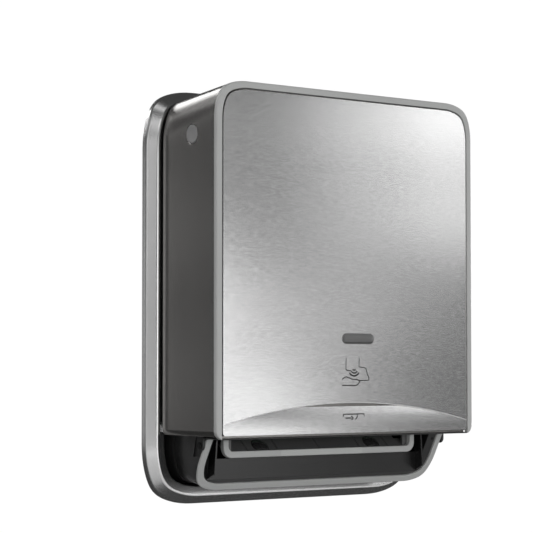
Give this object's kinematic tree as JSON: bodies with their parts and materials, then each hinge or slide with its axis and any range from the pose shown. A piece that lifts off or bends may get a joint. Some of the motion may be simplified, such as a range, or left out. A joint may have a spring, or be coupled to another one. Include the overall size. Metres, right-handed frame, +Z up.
{
  "type": "automatic roll towel dispenser",
  "caption": "Semi-recessed touch-free dispenser: hinged hood with brushed front over a paper roll, drive rollers, sensors in a sloped chin, steel trim and in-wall box.",
  "frame": {"origin": "centre of the four flange screws, on the wall plane", "axes": "+X to the right seen from the front, +Y into the wall, +Z up"},
  "size_m": [0.346, 0.2166, 0.404],
  "materials": {
    "trim_steel": "satin stainless, fine grain",
    "galvanised_sheet": "folded zinc-coated sheet, dull",
    "black_moulding": "black injection moulding, fine texture",
    "zinc_steel": "zinc-plated, smooth",
    "light_grey_moulding": "satin silver-grey moulding",
    "black_gloss": "polished black",
    "stainless": "bright stamped strip",
    "lens_black": "smoked polished lens",
    "circuit_board": "green coated board",
    "grey_moulding": "mid grey injection moulding",
    "acetal": "natural acetal, smooth",
    "battery_wrap": "plain wrapped steel can",
    "nickel_contact": "nickel-plated strip",
    "spring_steel": "spring temper, smooth",
    "cover_dark": "dark grey satin moulding",
    "brushed_plate": "fine horizontal grain",
    "button_grey": "satin grey",
    "paper": "white embossed paper towel",
    "cardboard": "plain wound board",
    "roller_rubber": "soft grip, dull",
    "brass": "machined"
  },
  "bodies": {
    "chassis": {"trim_frame": "trim_steel", "in_wall_housing": "galvanised_sheet", "chassis": "black_moulding", "chassis_screws": "zinc_steel", "chin_shell": "black_moulding", "chin_ring": "light_grey_moulding", "hinge_pins": "zinc_steel", "backsplash_panel": "black_gloss", "nose_housing": "black_moulding", "nose_band": "light_grey_moulding", "nose_centre_strip": "light_grey_moulding", "tear_bar": "stainless", "sensor_lenses": "lens_black", "sensor_board": "circuit_board", "drive_frame": "grey_moulding", "drive_bushes": "acetal", "pinch_bushes": "acetal", "idler_pin": "zinc_steel", "motor": "zinc_steel", "battery_box": "grey_moulding", "battery_cells": "battery_wrap", "battery_contacts": "nickel_contact", "control_board": "circuit_board", "feed_switch": "grey_moulding", "arm_pins": "zinc_steel", "latch_leaf_left": "spring_steel", "latch_leaf_right": "spring_steel"},
    "cover": {"cover_shell": "cover_dark", "cover_rim": "light_grey_moulding", "faceplate": "brushed_plate", "hinge_arm_left": "black_moulding", "hinge_arm_right": "black_moulding"},
    "latch_left": {"latch_button_left": "button_grey"},
    "latch_right": {"latch_button_right": "button_grey"},
    "arm_left": {"roll_arm_left": "grey_moulding"},
    "arm_right": {"roll_arm_right": "grey_moulding"},
    "hub_left": {"roll_hub_left": "acetal"},
    "hub_right": {"roll_hub_right": "acetal"},
    "roll": {"towel_roll": "paper", "roll_core": "cardboard"},
    "drive": {"drive_shaft": "zinc_steel", "drive_roller": "grey_moulding", "drive_sleeves": "roller_rubber", "roller_gear": "acetal"},
    "pinch": {"pinch_shaft": "zinc_steel", "pinch_roller": "grey_moulding"},
    "idler": {"idler_gear": "acetal"},
    "pinion": {"motor_pinion": "brass", "pinion_shaft": "zinc_steel"},
    "battery_door": {"battery_door": "grey_moulding"},
    "feed_button": {"feed_button": "button_grey"}
  },
  "joints": [
    {"name": "cover_hinge", "type": "hinge", "parent": "chassis", "child": "cover", "pos_m": [0, -0.0705, -0.142], "axis": [1, 0, 0], "range_deg": [0, 95], "deforming": ["latch_leaf_left", "latch_leaf_right"]},
    {"name": "latch_left_push", "type": "slide", "parent": "cover", "child": "latch_left", "axis": [1, 0, 0], "range_m": [0, 0.0035], "stiffness_N_per_m": 500, "deforming": ["latch_leaf_left"]},
    {"name": "latch_right_push", "type": "slide", "parent": "cover", "child": "latch_right", "axis": [-1, 0, 0], "range_m": [0, 0.0035], "stiffness_N_per_m": 500, "deforming": ["latch_leaf_right"]},
    {"name": "arm_left_swing", "type": "hinge", "parent": "chassis", "child": "arm_left", "pos_m": [-0.118, 0.08, 0.085], "axis": [0, 0, -1], "range_deg": [0, 12], "stiffness_Nm_per_rad": 2},
    {"name": "arm_right_swing", "type": "hinge", "parent": "chassis", "child": "arm_right", "pos_m": [0.118, 0.08, 0.085], "axis": [0, 0, 1], "range_deg": [0, 12], "stiffness_Nm_per_rad": 2},
    {"name": "roll_spin", "type": "hinge", "parent": "chassis", "child": "roll", "pos_m": [0, -0.004, 0.085], "axis": [1, 0, 0], "continuous": true},
    {"name": "hub_left_spin", "type": "hinge", "parent": "arm_left", "child": "hub_left", "pos_m": [-0.1, -0.004, 0.085], "axis": [1, 0, 0], "continuous": true},
    {"name": "hub_right_spin", "type": "hinge", "parent": "arm_right", "child": "hub_right", "pos_m": [0.1, -0.004, 0.085], "axis": [1, 0, 0], "continuous": true},
    {"name": "drive_spin", "type": "hinge", "parent": "chassis", "child": "drive", "pos_m": [0, -0.02863, -0.10962], "axis": [1, 0, 0], "continuous": true},
    {"name": "pinch_spin", "type": "hinge", "parent": "chassis", "child": "pinch", "pos_m": [0, -0.01341, -0.12725], "axis": [1, 0, 0], "continuous": true},
    {"name": "idler_spin", "type": "hinge", "parent": "chassis", "child": "idler", "pos_m": [0.1175, -0.0512, -0.07967], "axis": [1, 0, 0], "continuous": true},
    {"name": "pinion_spin", "type": "hinge", "parent": "chassis", "child": "pinion", "pos_m": [0.1175, -0.06917, -0.06613], "axis": [1, 0, 0], "continuous": true},
    {"name": "battery_door_slide", "type": "slide", "parent": "chassis", "child": "battery_door", "axis": [0, 0, 1], "range_m": [0, 0.066]},
    {"name": "feed_button_push", "type": "slide", "parent": "chassis", "child": "feed_button", "axis": [0, 1, 0], "range_m": [0, 0.002], "stiffness_N_per_m": 300}
  ],
  "couplings": [
    {"joint": "hub_left_spin", "follows": "roll_spin", "ratio": 1},
    {"joint": "hub_right_spin", "follows": "roll_spin", "ratio": 1},
    {"joint": "pinch_spin", "follows": "drive_spin", "ratio": -1.5556},
    {"joint": "idler_spin", "follows": "drive_spin", "ratio": -1.5},
    {"joint": "pinion_spin", "follows": "drive_spin", "ratio": 3}
  ]
}
